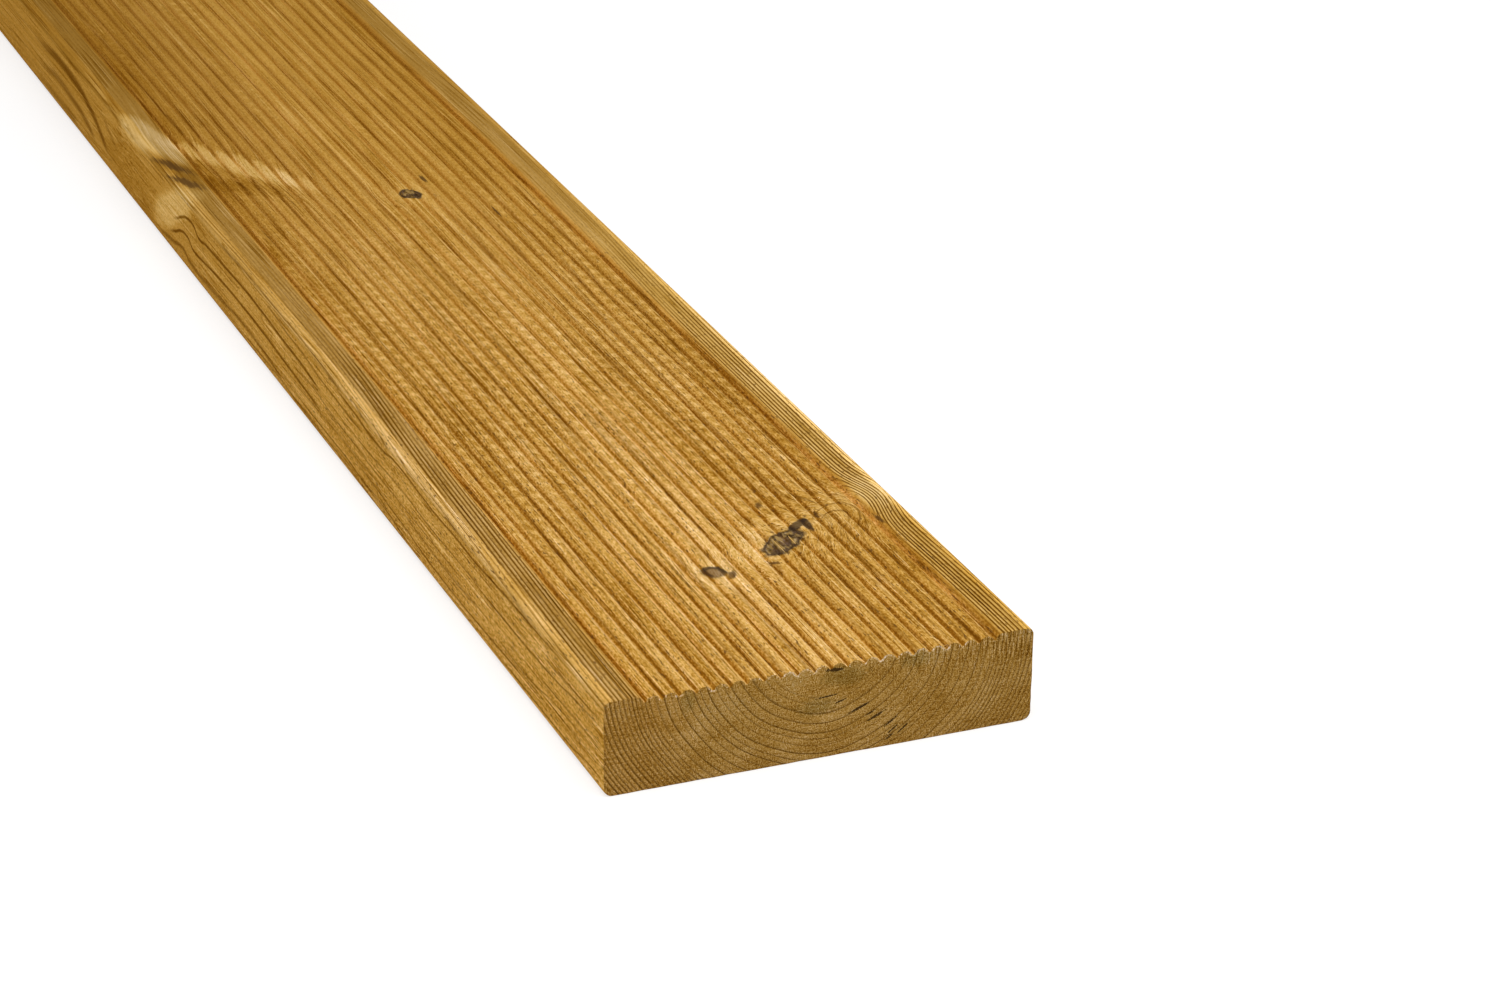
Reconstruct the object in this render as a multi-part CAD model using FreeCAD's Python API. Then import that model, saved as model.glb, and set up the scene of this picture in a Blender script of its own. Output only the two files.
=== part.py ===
import FreeCAD, Part
import math
import os

from FreeCAD import Vector

# A softwood decking board with a reeded walking face, lying on its plain back.
# X runs along the board from its near end, Y across it to the left and Z up.
# The origin is in the middle of the back. All sizes are in millimetres.

# Overall size of the planed board
board_length = 1800.0
board_width = 120.0
board_thickness = 27.0

# Rounding of the four long edges
top_arris_radius = 2.0
bottom_arris_radius = 2.5

# Reeded face: round reeds with narrow grooves between them, and a flat margin along each edge
edge_to_first_groove = 11.2
reed_spacing = 4.65
groove_depth = 1.8
crown_below_margin = 0.35
groove_root_radius = 0.45
margin_shoulder_radius = 1.8

# The reeds share the width between the two outer grooves evenly, as near to their spacing as fits
reeded_width = board_width - 2 * edge_to_first_groove
reed_count = max(1, round(reeded_width / reed_spacing))
reed_pitch = reeded_width / reed_count

near_end = -board_length / 2
left_edge = board_width / 2
right_edge = -board_width / 2
root_centre_height = board_thickness - groove_depth + groove_root_radius
crown_height = board_thickness - crown_below_margin


def in_section(across, height):
    """A point of the section, which is drawn at the near end."""
    return Vector(near_end, across, height)


def root_centre(groove):
    """Centre of the small arc at the bottom of a groove, counted from the left."""
    return in_section(left_edge - edge_to_first_groove - groove * reed_pitch, root_centre_height)


def reed_radius():
    """Radius of a reed whose arc rises to the crown and runs tangent into both root arcs.

    The centres of a reed and a root are half a pitch apart across the board, and their distance
    is the sum of the two radii, which leaves one radius for the wanted rise of the crown.
    """
    rise = groove_depth - crown_below_margin
    radii = ((reed_pitch / 2) ** 2 + rise ** 2) / (2 * rise)
    return radii - groove_root_radius


def reed_centre(reed):
    """Centre of the arc of a reed, which lies midway between two grooves."""
    midway = (root_centre(reed).y + root_centre(reed + 1).y) / 2
    return in_section(midway, crown_height - reed_radius())


def shoulder_centre(groove, side):
    """Centre of the arc that rolls a margin over into its groove. Side is 1 left, -1 right."""
    radii = margin_shoulder_radius + groove_root_radius
    reach = math.sqrt(groove_depth * (2 * radii - groove_depth))
    across = root_centre(groove).y + side * reach
    return in_section(across, board_thickness - margin_shoulder_radius)


def meeting_point(root, neighbour):
    """Where a root arc touches the arc about the neighbouring centre."""
    return root + (neighbour - root).normalize() * groove_root_radius


def line(start, end):
    return Part.LineSegment(start, end).toShape()


def arc(start, through, end):
    return Part.Arc(start, through, end).toShape()


def arc_about(centre, start, end):
    """The shorter arc about a centre, through the point halfway between its ends."""
    halfway = (start + end) * 0.5 - centre
    return arc(start, centre + halfway.normalize() * start.distanceToPoint(centre), end)


def reeded_face(left_shoulder, right_shoulder):
    """Grooves and reeds in turn, from the left shoulder's arc to the right one's."""
    centres = [left_shoulder] + [reed_centre(reed) for reed in range(reed_count)] + [right_shoulder]
    edges = []
    for groove in range(reed_count + 1):
        root = root_centre(groove)
        bottom = root - Vector(0, 0, groove_root_radius)
        left_point = meeting_point(root, centres[groove])
        right_point = meeting_point(root, centres[groove + 1])
        edges.append(arc(left_point, bottom, right_point))
        if groove < reed_count:
            reed = centres[groove + 1]
            next_point = meeting_point(root_centre(groove + 1), reed)
            edges.append(arc(right_point, reed + Vector(0, 0, reed_radius()), next_point))
    return edges


def long_side(edge, inward):
    """The rounded top edge, flat side and rounded bottom edge, with their ends on the margin and back."""
    top_flat = in_section(edge + inward * top_arris_radius, board_thickness)
    top_side = in_section(edge, board_thickness - top_arris_radius)
    back_side = in_section(edge, bottom_arris_radius)
    back_flat = in_section(edge + inward * bottom_arris_radius, 0)
    top_centre = in_section(top_flat.y, top_side.z)
    back_centre = in_section(back_flat.y, back_side.z)
    edges = [
        arc_about(top_centre, top_flat, top_side),
        line(top_side, back_side),
        arc_about(back_centre, back_side, back_flat),
    ]
    return top_flat, edges, back_flat


def board_section():
    """The outline, walked clockwise as seen from the near end, as one face."""
    left_shoulder = shoulder_centre(0, 1)
    right_shoulder = shoulder_centre(reed_count, -1)
    shoulder_rise = Vector(0, 0, margin_shoulder_radius)
    left_margin = left_shoulder + shoulder_rise
    right_margin = right_shoulder + shoulder_rise
    left_groove = meeting_point(root_centre(0), left_shoulder)
    right_groove = meeting_point(root_centre(reed_count), right_shoulder)
    left_top, left_edges, left_back = long_side(left_edge, -1)
    right_top, right_edges, right_back = long_side(right_edge, 1)

    edges = [line(left_top, left_margin), arc_about(left_shoulder, left_margin, left_groove)]
    edges += reeded_face(left_shoulder, right_shoulder)
    edges += [arc_about(right_shoulder, right_groove, right_margin), line(right_margin, right_top)]
    edges += right_edges
    edges += [line(right_back, left_back)]
    edges += reversed(left_edges)
    return Part.Face(Part.Wire(edges))


def decking_board():
    """The section carried along the length and sawn square at both ends."""
    return board_section().extrude(Vector(board_length, 0, 0))


os.makedirs("parts", exist_ok=True)
board = decking_board()
board.exportStep("parts/decking_board.step")
print(reed_count, "reeds,", round(reed_pitch, 3), "mm apart, of radius", round(reed_radius(), 3), "mm")
print("volume", round(board.Volume / 1000), "cm3, valid", board.isValid())
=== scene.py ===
import math

import bpy
import numpy as np
from mathutils import Matrix, Vector


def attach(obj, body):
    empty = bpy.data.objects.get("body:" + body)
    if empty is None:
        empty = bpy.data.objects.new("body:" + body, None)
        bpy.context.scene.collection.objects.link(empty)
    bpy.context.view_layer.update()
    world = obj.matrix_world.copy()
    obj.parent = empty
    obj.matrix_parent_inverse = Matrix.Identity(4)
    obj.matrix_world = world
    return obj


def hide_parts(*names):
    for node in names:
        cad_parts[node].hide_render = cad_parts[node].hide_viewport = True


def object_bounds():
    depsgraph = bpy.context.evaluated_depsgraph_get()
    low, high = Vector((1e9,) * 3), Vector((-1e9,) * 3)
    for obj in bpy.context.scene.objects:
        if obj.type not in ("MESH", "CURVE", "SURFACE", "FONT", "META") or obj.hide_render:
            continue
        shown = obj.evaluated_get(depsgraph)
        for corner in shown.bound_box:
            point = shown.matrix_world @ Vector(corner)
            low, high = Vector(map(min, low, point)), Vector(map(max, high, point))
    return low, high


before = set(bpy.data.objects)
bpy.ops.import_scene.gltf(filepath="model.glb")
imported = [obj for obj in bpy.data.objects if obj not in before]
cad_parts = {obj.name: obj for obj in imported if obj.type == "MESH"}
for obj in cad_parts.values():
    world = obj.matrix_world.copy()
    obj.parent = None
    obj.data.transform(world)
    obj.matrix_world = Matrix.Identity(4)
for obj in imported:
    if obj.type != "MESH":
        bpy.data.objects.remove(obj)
cadLow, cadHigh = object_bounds()
print("frame loaded, CAD box", [round(side, 4) for side in cadHigh - cadLow])

mm = 0.001
imageWidth = 1493

# The board lies along X from its near sawn end, with Y to the left and Z up. Sizes are in mm.
board = {
    "length": (cadHigh.x - cadLow.x) / mm,
    "width": (cadHigh.y - cadLow.y) / mm,
    "thickness": (cadHigh.z - cadLow.z) / mm,
    "edgeToGroove": 11.2,        # from a side face to the middle of its first groove
    "reedSpacing": 4.65,
    "grooveDepth": 1.8,
    "crownBelowMargin": 0.35,
    "rootRadius": 0.45,
    "shoulderRadius": 1.8,
    "topArris": 2.0,
    "backArris": 2.5,
    "reedPoints": 13,            # points round the arc of a reed
    "rootPoints": 5,
    "shoulderPoints": 7,
    "arrisPoints": 6,
    "marginPoints": 7,
    "sidePoints": 10,
    "backPoints": 28,
    "nearSpacing": 5.0,          # between stations along the first part of the board
    "nearLength": 700.0,
    "farSpacing": 26.0,
    "endSpacing": 0.25,          # the first step in from a sawn end, each later one larger
    "growingSteps": 10,          # steps that grow from there
    "wideningSteps": 14,         # steps between the near part and the far one
    "edgeWear": 0.12,            # how far the broken edge of a sawn end falls back
    "leastWear": 0.25,           # the smallest share of it
    "wearFade": 0.45,            # how far from the end it fades
    "edgeTear": 0.20,            # how far its fibres are torn out, along the board
    "rimInset": 0.42,            # from the outline in to the flat part of a sawn end
    "unevenness": 0.03,          # left along the reeds by the cutters
    "plainShare": 0.25,          # the share of it that the plain faces have
    "unevenAlong": 90.0,         # its wavelengths along and round the board
    "unevenRound": 9.0,
    "seed": 7,
}
reedCount = round((board["width"] - 2 * board["edgeToGroove"]) / board["reedSpacing"])
reedPitch = (board["width"] - 2 * board["edgeToGroove"]) / reedCount
firstGroove = board["width"] / 2 - board["edgeToGroove"]


# Points round a centre, evenly from one angle to another, in degrees from +Y towards +Z
def arcPoints(centre, radius, fromAngle, toAngle, count):
    angle = np.radians(np.linspace(fromAngle, toAngle, count))
    return np.array(centre) + radius * np.stack([np.cos(angle), np.sin(angle)], axis=1)


# Evenly spaced points between two ends, which are left out
def pointsBetween(start, end, count):
    share = np.linspace(0, 1, count + 2)[1:-1, None]
    return np.array(start) * (1 - share) + np.array(end) * share


# The outline, from the left top edge over the reeds, down the right side and back along the underside.
# A reed rises (depth - drop) above the roots and is tangent to them, so its radius and a root's add up
# to ((pitch / 2)^2 + rise^2) / (2 rise). A shoulder starts level with the margin and is tangent to its
# root, which puts it sqrt(depth (2 radii - depth)) away, with radii the sum of those two.
def boardSection(size):
    top = size["thickness"]
    edge = size["width"] / 2
    depth = size["grooveDepth"]
    rise = depth - size["crownBelowMargin"]
    rootRadius = size["rootRadius"]
    reedRadius = ((reedPitch / 2) ** 2 + rise ** 2) / (2 * rise) - rootRadius
    rootHeight = top - depth + rootRadius
    reedHeight = top - size["crownBelowMargin"] - reedRadius
    shoulderHeight = top - size["shoulderRadius"]
    reach = math.sqrt(depth * (2 * (size["shoulderRadius"] + rootRadius) - depth))
    reedLean = math.degrees(math.atan2(rootHeight - reedHeight, reedPitch / 2))
    shoulderLean = math.degrees(math.atan2(rootHeight - shoulderHeight, reach))

    def root(groove, leftLean, rightLean):
        centre = (firstGroove - groove * reedPitch, rootHeight)
        return arcPoints(centre, rootRadius, -leftLean, rightLean - 180, size["rootPoints"])[:-1]

    def shoulder(side, fromAngle, toAngle):
        centre = (side * (firstGroove + reach), shoulderHeight)
        return arcPoints(centre, size["shoulderRadius"], fromAngle, toAngle, size["shoulderPoints"])

    def arris(side, centreHeight, radius, fromAngle):
        centre = (side * (edge - radius), centreHeight)
        return arcPoints(centre, radius, fromAngle, fromAngle + 90, size["arrisPoints"])

    reedCentre = (firstGroove - reedPitch / 2, reedHeight)
    reed = arcPoints(reedCentre, reedRadius, reedLean, 180 - reedLean, size["reedPoints"])[:-1]
    pattern = np.concatenate([root(0, reedLean, reedLean), reed])
    steps = -reedPitch * np.arange(1, reedCount)[:, None, None] * np.array([1, 0])
    reeds = (pattern[None] + steps).reshape(-1, 2)

    topArris = size["topArris"]
    backArris = size["backArris"]
    leftTop = arris(1, top - topArris, topArris, 0)
    rightTop = arris(-1, top - topArris, topArris, 90)
    rightBack = arris(-1, backArris, backArris, 180)
    leftBack = arris(1, backArris, backArris, 270)
    leftShoulder = shoulder(1, 90, 180 - shoulderLean)
    rightShoulder = shoulder(-1, shoulderLean, 90)
    return np.concatenate([
        leftTop,
        pointsBetween(leftTop[-1], leftShoulder[0], size["marginPoints"]),
        leftShoulder[:-1],
        root(0, shoulderLean, reedLean),
        reed,
        reeds,
        root(reedCount, reedLean, shoulderLean),
        rightShoulder,
        pointsBetween(rightShoulder[-1], rightTop[0], size["marginPoints"]),
        rightTop,
        pointsBetween(rightTop[-1], rightBack[0], size["sidePoints"]),
        rightBack,
        pointsBetween(rightBack[-1], leftBack[0], size["backPoints"]),
        leftBack,
        pointsBetween(leftBack[-1], leftTop[0], size["sidePoints"]),
    ])


# Places of the stations along the board. Steps grow by a fixed factor from both sawn ends, stay even
# over the near part, and widen towards the far end. Their sum is scaled to the board's length.
def stationPlaces(size):
    growing = np.geomspace(size["endSpacing"], size["nearSpacing"], size["growingSteps"])
    near = np.full(round(size["nearLength"] / size["nearSpacing"]), size["nearSpacing"])
    rest = size["length"] - size["nearLength"] - 2 * growing.sum()
    widening = np.geomspace(size["nearSpacing"], size["farSpacing"], size["wideningSteps"])
    far = np.full(max(1, round((rest - widening.sum()) / size["farSpacing"])), size["farSpacing"])
    steps = np.concatenate([growing, near, widening, far, growing[::-1]])
    places = np.concatenate([[0], np.cumsum(steps)])
    return places * size["length"] / places[-1]


# Smooth unevenness from 0 to 1 over two directions: the sum of many cosine waves with random phases and
# 0.6 to 2.2 turns for each given wavelength, made even by the square root of their number and bent by
# tanh into that range
def unevenField(along, across, alongWave, acrossWave, seed, waves=40):
    rng = np.random.default_rng(seed)
    spread = rng.uniform(0.6, 2.2, (2, waves))
    turn = rng.choice([-1, 1], waves)
    phase = rng.uniform(0, 2 * math.pi, waves)
    alongTurns = 2 * math.pi * along[..., None] * spread[0] / alongWave
    acrossTurns = 2 * math.pi * across[..., None] * spread[1] * turn / acrossWave
    total = np.cos(alongTurns + acrossTurns + phase).sum(axis=-1) / math.sqrt(waves / 2)
    return 0.5 + 0.5 * np.tanh(total)


# Outward directions of a closed outline that is walked anticlockwise: the step from the point before
# to the point after, turned a quarter to the right
def outwardDirections(outline):
    step = np.roll(outline, -1, axis=0) - np.roll(outline, 1, axis=0)
    step /= np.linalg.norm(step, axis=1, keepdims=True)
    return np.stack([step[:, 1], -step[:, 0]], axis=1)


# A mesh object from corners in mm and a list of faces
def meshObject(name, corners, faces, materials):
    mesh = bpy.data.meshes.new(name)
    mesh.from_pydata((corners * mm).tolist(), [], faces)
    for material in materials:
        mesh.materials.append(material)
    made = bpy.data.objects.new(name, mesh)
    bpy.context.scene.collection.objects.link(made)
    return made


# The section carried along the stations. Every point falls back along its own outward direction by the
# cutters' unevenness, and near a sawn end by a wear that fades as exp(-distance / fade).
def makeBoard(size, faceMaterial, endMaterial):
    outline = boardSection(size)
    outward = outwardDirections(outline)
    places = stationPlaces(size)
    rng = np.random.default_rng(size["seed"])
    count = len(outline)
    girth = np.concatenate([[0], np.cumsum(np.linalg.norm(np.diff(outline, axis=0), axis=1))])

    along = places[:, None] + 0 * girth
    around = girth[None, :] + 0 * along
    onTop = outline[:, 1] > size["thickness"] / 2
    reeded = np.clip((firstGroove + 1 - np.abs(outline[:, 0])) / 2, 0, 1) * onTop
    uneven = unevenField(along, around, size["unevenAlong"], size["unevenRound"], size["seed"])
    plain = size["plainShare"]
    fallBack = size["unevenness"] * uneven * (plain + (1 - plain) * reeded)
    fromEnd = np.minimum(along, size["length"] - along)
    ragged = rng.uniform(size["leastWear"], 1, (2, count))
    ragged = (ragged + np.roll(ragged, 1, axis=1)) / 2
    nearer = np.where(along < size["length"] / 2, ragged[0], ragged[1])
    fallBack = fallBack + size["edgeWear"] * nearer * np.exp(-fromEnd / size["wearFade"])

    section = outline[None] - outward[None] * fallBack[..., None]
    corners = np.concatenate([along[..., None], section], axis=2)
    torn = size["edgeTear"] * rng.uniform(0, 1, (2, count)) ** 2
    corners[0, :, 0] += torn[0]
    corners[-1, :, 0] -= torn[1]
    rim = outline - outward * size["rimInset"]
    nearRim = np.concatenate([np.zeros((count, 1)), rim], axis=1)
    farRim = np.concatenate([np.full((count, 1), size["length"]), rim], axis=1)
    rings = np.concatenate([nearRim[None], corners, farRim[None]])
    rings[..., 0] += cadLow.x / mm
    rings[..., 1] += (cadLow.y + cadHigh.y) / 2 / mm
    rings[..., 2] += cadLow.z / mm

    ringCount = len(rings)
    index = np.arange(ringCount * count).reshape(ringCount, count)
    after = np.roll(index, -1, axis=1)
    quads = np.stack([index[:-1], after[:-1], after[1:], index[1:]], axis=2)
    faces = quads.reshape(-1, 4).tolist() + [index[0, ::-1].tolist(), index[-1].tolist()]
    made = meshObject("board", rings.reshape(-1, 3), faces, [faceMaterial, endMaterial])

    onEnd = np.zeros(len(faces), dtype=bool)
    onEnd[:count] = True
    onEnd[-count - 2:] = True
    made.data.polygons.foreach_set("material_index", onEnd.astype(np.int32))
    made.data.polygons.foreach_set("use_smooth", ~onEnd)
    made.data.update()
    triangles = 2 * (len(faces) - 2) + 2 * count
    print("board:", count, "points round,", len(places), "stations,", triangles, "triangles")
    return made


# Height of the reeded face above the back, at places across the board
def faceHeight(size, across):
    outline = boardSection(size)
    top = outline[outline[:, 1] > size["thickness"] - size["topArris"]]
    order = np.argsort(top[:, 0])
    return np.interp(across, top[order, 0], top[order, 1])


def colour(red, green, blue):
    return (red, green, blue, 1.0)


# Fibres torn up by the cutters and the saw, all in mm. A long one is (start from the near end, its end,
# place across at the start and at the end, width, how far its end stands up).
tornFibres = {
    "long": [
        (26.5, 1.0, -5.1, -5.8, 0.50, 0.05),
        (24.7, 0.8, 13.2, 12.6, 0.50, 0.06),
        (24.0, 15.0, 21.8, 21.7, 0.45, 0.08),
        (7.0, 0.3, -11.0, -12.0, 0.75, -0.10),
        (5.5, 0.3, -32.6, -35.9, 0.70, 0.10),
        (1.2, 0.2, -33.0, -36.6, 0.45, 0.05),
        (61.0, 40.0, -28.4, -28.8, 0.40, 0.06),
        (44.0, 29.0, 35.6, 35.2, 0.40, 0.06),
    ],
    "count": 130,
    "reach": 330.0,              # the short ones lie over this length from the near end
    "crowding": 1.4,             # above 1, more of them lie near the end
    "endGap": 0.4,               # they stop this far before the sawn end
    "besideCrown": [-1.15, -0.9, 0.9],
    "scatter": 0.2,              # to both sides of those places
    "drift": 0.15,               # how far a short one runs aside
    "shortest": 2.0,
    "longest": 11.0,
    "width": 0.30,
    "widths": (0.6, 1.3),        # shares of the width that the short ones have
    "flatness": 0.4,             # thickness as a share of the width
    "lift": 0.12,
    "clearance": 0.02,           # they stay this far under the margins' height
    "stations": 12,
    "sides": 6,
    "seed": 21,
    "colour": colour(0.800, 0.500, 0.160),
}


# Thin slivers on the shoulders of the reeds. Half the width is width / 2 times the square root of
# sin(pi (0.02 + 0.96 t)) for t from 0 to 1 along it, which leaves blunt tips, and its height is that of
# the face plus lift times t squared.
def makeFibres(size, surface, material):
    rng = np.random.default_rng(size["seed"])
    count = size["count"]
    start = size["reach"] * rng.uniform(0.01, 1, count) ** size["crowding"]
    length = rng.uniform(size["shortest"], size["longest"], count)
    crown = firstGroove - reedPitch * (rng.integers(0, reedCount, count) + 0.5)
    scatter = size["scatter"]
    across = crown + rng.choice(size["besideCrown"], count) + rng.uniform(-scatter, scatter, count)
    ends = np.clip(start - length, size["endGap"], None)
    aside = rng.uniform(-size["drift"], size["drift"], count)
    width = size["width"] * rng.uniform(*size["widths"], count)
    lift = size["lift"] * rng.uniform(0, 1, count)
    short = np.stack([start + 1, ends, across, across + aside, width, lift], axis=1)
    rows = np.concatenate([np.array(size["long"]), short])[..., None]

    share = np.linspace(0, 1, size["stations"])[None, :]
    alongBoard = rows[:, 0] * (1 - share) + rows[:, 1] * share
    acrossBoard = rows[:, 2] * (1 - share) + rows[:, 3] * share
    half = rows[:, 4] / 2 * np.sqrt(np.sin(math.pi * (0.02 + 0.96 * share)))
    height = faceHeight(surface, acrossBoard) + rows[:, 5] * share ** 2
    angle = 2 * math.pi * np.arange(size["sides"]) / size["sides"]
    wide = half[..., None] * np.cos(angle)
    thick = size["flatness"] * half[..., None] * np.sin(angle)
    corners = np.stack([
        alongBoard[..., None] + 0 * wide,
        acrossBoard[..., None] + wide,
        np.minimum(height[..., None] + thick, surface["thickness"] - size["clearance"]),
    ], axis=-1)
    corners += np.array([cadLow.x, (cadLow.y + cadHigh.y) / 2, cadLow.z]) / mm

    index = np.arange(corners[..., 0].size).reshape(corners.shape[:3])
    after = np.roll(index, -1, axis=2)
    quads = np.stack([index[:, :-1], after[:, :-1], after[:, 1:], index[:, 1:]], axis=-1)
    faces = quads.reshape(-1, 4).tolist() + index[:, 0, ::-1].tolist() + index[:, -1].tolist()
    made = meshObject("raisedFibres", corners.reshape(-1, 3), faces, [material])
    print("raised fibres:", len(rows), "slivers")
    return made


# A shader value, so that sums on it can be written as plain expressions. Each operator adds a Math node.
class Value:
    def __init__(self, shader, socket):
        self.shader = shader
        self.socket = socket

    def maths(self, operation, *values):
        return self.shader.node("ShaderNodeMath", {"operation": operation}, dict(enumerate(values)))

    def __add__(self, other):
        return self.maths("ADD", self, other)

    def __sub__(self, other):
        return self.maths("SUBTRACT", self, other)

    def __rsub__(self, other):
        return self.maths("SUBTRACT", other, self)

    def __mul__(self, other):
        return self.maths("MULTIPLY", self, other)

    def __truediv__(self, other):
        return self.maths("DIVIDE", self, other)

    def __rtruediv__(self, other):
        return self.maths("DIVIDE", other, self)

    def __pow__(self, power):
        return self.maths("POWER", self, power)

    def __abs__(self):
        return self.maths("ABSOLUTE", self)

    __radd__ = __add__
    __rmul__ = __mul__

    def largest(self, other):
        return self.maths("MAXIMUM", self, other)

    def smallest(self, other):
        return self.maths("MINIMUM", self, other)

    def part(self):
        return self.maths("FRACT", self)

    def floor(self):
        return self.maths("FLOOR", self)

    def sine(self):
        return self.maths("SINE", self)

    def cosine(self):
        return self.maths("COSINE", self)

    def root(self):
        return self.maths("SQRT", self)

    def exponential(self):
        return self.maths("EXPONENT", self)

    # A smooth step from 0 to 1 between two values, or from 1 to 0 where the first is the larger
    def step(self, start, end):
        sockets = {"Value": self, "From Min": start, "From Max": end}
        return self.shader.node("ShaderNodeMapRange", {"interpolation_type": "SMOOTHSTEP"}, sockets)

    # 1 where a smooth rise and a smooth fall have both been passed, each given as a step's two values
    def window(self, rise, fall):
        return self.step(*rise) * self.step(*fall)


# The nodes of one material, or of the world, and the ways they are added
class Shader:
    def __init__(self, owner):
        owner.use_nodes = True
        self.owner = owner
        self.tree = owner.node_tree
        self.tree.nodes.clear()

    # Any node: its settings first, then the values or links of its sockets. Gives one of its outputs
    def node(self, kind, settings=None, sockets=None, output=0):
        made = self.tree.nodes.new(kind)
        for name, setting in (settings or {}).items():
            setattr(made, name, setting)
        for name, value in (sockets or {}).items():
            if isinstance(value, Value):
                self.tree.links.new(value.socket, made.inputs[name])
            else:
                made.inputs[name].default_value = value
        return Value(self, made.outputs[output]) if made.outputs else None

    # All outputs of the node that a value came from
    def outputs(self, value):
        return [Value(self, socket) for socket in value.socket.node.outputs]

    def parts(self, vector):
        return self.outputs(self.node("ShaderNodeSeparateXYZ", {}, {0: vector}))

    def vector(self, *parts):
        return self.node("ShaderNodeCombineXYZ", {}, dict(enumerate(parts)))

    # A place on the object in mm, with X from the near sawn end
    def placeInMm(self):
        place = self.node("ShaderNodeTexCoord", output="Object")
        sockets = {"Vector": place, "Scale": (1 / mm,) * 3, "Location": (-cadLow.x / mm, 0, -cadLow.z / mm)}
        return self.node("ShaderNodeMapping", {}, sockets)

    # Noise about 0, whose grains are about as long as the given sizes in mm
    def noise(self, place, grain, detail=2.0, shift=0.0):
        stretch = tuple(1 / size for size in grain)
        sockets = {"Vector": place, "Scale": stretch, "Location": (shift,) * 3}
        moved = self.node("ShaderNodeMapping", {}, sockets)
        return self.node("ShaderNodeTexNoise", {}, {"Vector": moved, "Scale": 1.0, "Detail": detail}) - 0.5

    # A place seen from a spot's middle, turned with it, as a share of its half sizes
    def local(self, place, spot, larger=1.0):
        turn = tuple(math.radians(angle) for angle in spot["turn"])
        half = tuple(size * larger for size in spot["half"])
        sockets = {"Vector": place, "Location": spot["middle"], "Rotation": turn, "Scale": half}
        return self.node("ShaderNodeMapping", {"vector_type": "TEXTURE"}, sockets)

    # Distance from the middle of an oval spot, which ends at 1
    def oval(self, place, spot, larger=1.0):
        local = self.local(place, spot, larger)
        return self.node("ShaderNodeVectorMath", {"operation": "LENGTH"}, {0: local}, output="Value")

    # Height of a smooth curve through points, over a place along it. Places run from 0 to the reach, and
    # heights from 0 to the rise
    def curve(self, along, points, reach, rise):
        drawn = self.node("ShaderNodeFloatCurve", {}, {"Value": along / reach})
        mapping = drawn.socket.node.mapping
        mapping.extend = "HORIZONTAL"
        handles = mapping.curves[0].points
        for handle, (place, height) in zip(handles, points):
            handle.location = (place / reach, height / rise)
        for place, height in points[2:]:
            handles.new(place / reach, height / rise)
        mapping.update()
        return drawn * rise

    def blend(self, factor, low, high, way="MIX"):
        sockets = {0: factor, 6: low, 7: high}
        return self.node("ShaderNodeMix", {"data_type": "RGBA", "blend_type": way}, sockets, output=2)

    def tint(self, factor, colour, by):
        return self.blend(factor, colour, by, "MULTIPLY")

    # A colour made lighter or darker by a number. Darker wood is also redder: green and blue are
    # multiplied by higher powers of the number
    def deepen(self, colour, amount):
        above = amount.largest(0.40)
        sockets = {0: above, 1: above ** 1.38, 2: above ** 2.9}
        return self.tint(1.0, colour, self.node("ShaderNodeCombineColor", {}, sockets))

    def finish(self, colour, roughness, height, settings):
        normal = self.node("ShaderNodeBump", {}, {"Height": height, "Distance": mm, "Strength": 1.0})
        sockets = {"Base Color": colour, "Roughness": roughness, "Normal": normal}
        sockets.update(settings)
        surface = self.node("ShaderNodeBsdfPrincipled", {}, sockets)
        self.node("ShaderNodeOutputMaterial", {}, {"Surface": surface})
        return self.owner


# How the tree grew: the pith runs just above the reeded face, and branches push the rings outward.
# Places are (from the near end, to the left, up) in mm.
growth = {
    "pithLeft": -0.5,
    "pithHeight": 34.0,
    "driftLeft": -2.5,           # how far the pith moves from one place along the board to another
    "driftUp": 3.5,
    "driftFrom": 80.0,
    "driftTo": 320.0,
    "wanderFrom": 150.0,         # from here the pith also wanders, up to its full reach at wanderTo
    "wanderTo": 500.0,
    "wanderLeft": 14.0,
    "wanderUp": 10.0,
    "wideRing": 2.5,             # ring width near the pith
    "middleFrom": 27.0,          # from this radius the rings are of middling width
    "middleRing": 1.9,
    "firstRing": 0.48,           # share of a ring by which they are shifted
    "narrowFrom": 46.5,          # beyond this radius the rings are narrow
    "narrowRing": 1.15,
    "rhythm": 1.2,               # rings by which a slow noise makes them wide and narrow in turn
    "rhythmSize": 4.3,           # size of that noise out from the pith
    "sway": 0.20,                # how much a ring's radius changes round the pith
    "swayLength": 260.0,         # length of that change along the board
    "branchFade": 1.6,           # how fast a branch's push fades away from it
    "branches": [                # ovals in which the rings are pushed out, in their middle by the push
        {"middle": (84.0, -40.0, 27.0), "half": (42.0, 14.0, 60.0), "turn": (0, 0, -60), "push": 5.0},
        {"middle": (410.0, 36.0, 27.0), "half": (60.0, 12.0, 60.0), "turn": (0, 0, 30), "push": 2.5},
    ],
}


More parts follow.
